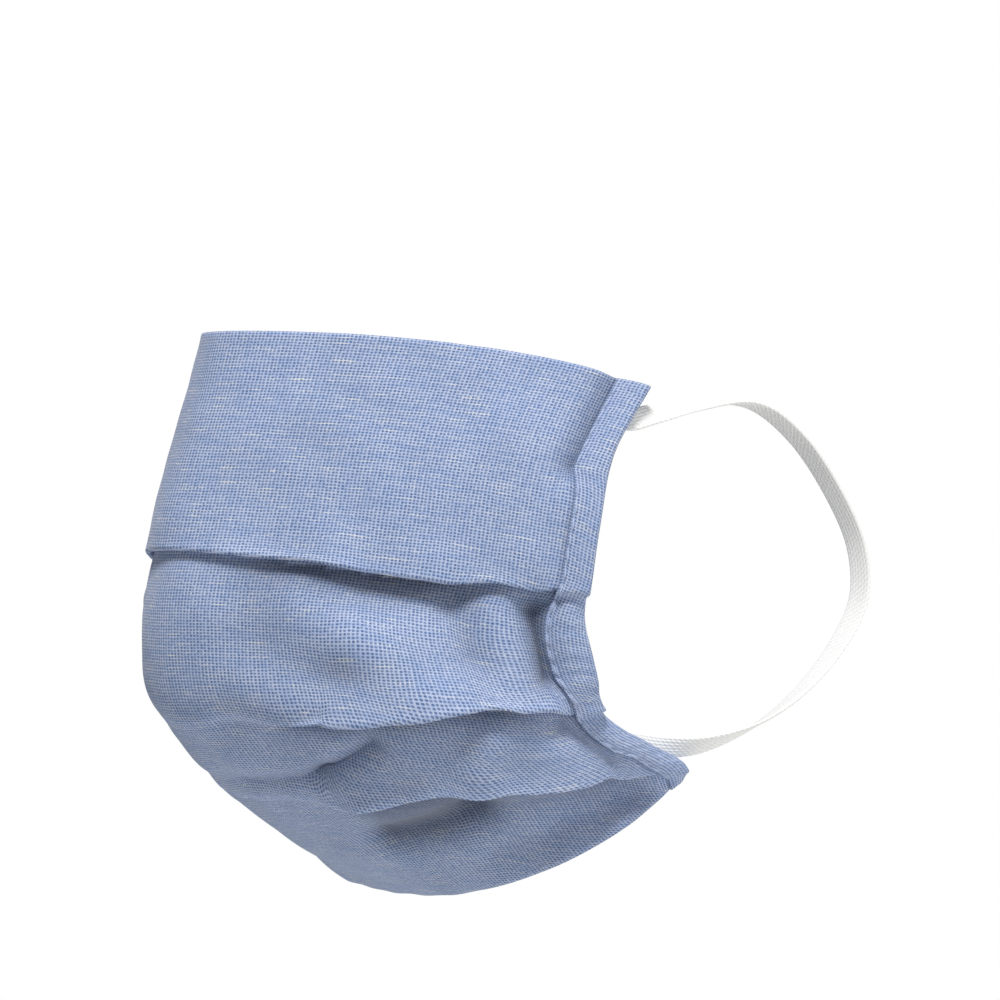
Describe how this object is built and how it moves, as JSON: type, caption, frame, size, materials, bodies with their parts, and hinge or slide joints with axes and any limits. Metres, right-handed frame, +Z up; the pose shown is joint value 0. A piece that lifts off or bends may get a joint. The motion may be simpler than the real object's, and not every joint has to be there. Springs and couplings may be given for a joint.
{
  "type": "cloth face mask",
  "caption": "Pleated cloth face mask in its worn shape: pleats open out over the chin, a narrow casing runs down each side, and a flat elastic loop goes round each ear.",
  "frame": {"origin": "the middle of the mask's top edge, where it sits on the bridge of the nose", "axes": "+Z up on a wearer who looks straight ahead along -Y, so +Y runs back to the ears and +X is the wearer's left"},
  "size_m": [0.147, 0.1447, 0.1278],
  "materials": {
    "chambray_cotton": "matt light blue end-on-end cotton weave with white cross threads",
    "flat_elastic": "matt white braided flat elastic with fine lengthwise ribs"
  },
  "bodies": {
    "root": {"pleated_panel": "chambray_cotton", "side_casing_left": "chambray_cotton", "side_casing_right": "chambray_cotton", "ear_loop_left": "flat_elastic", "ear_loop_right": "flat_elastic"}
  },
  "joints": []
}
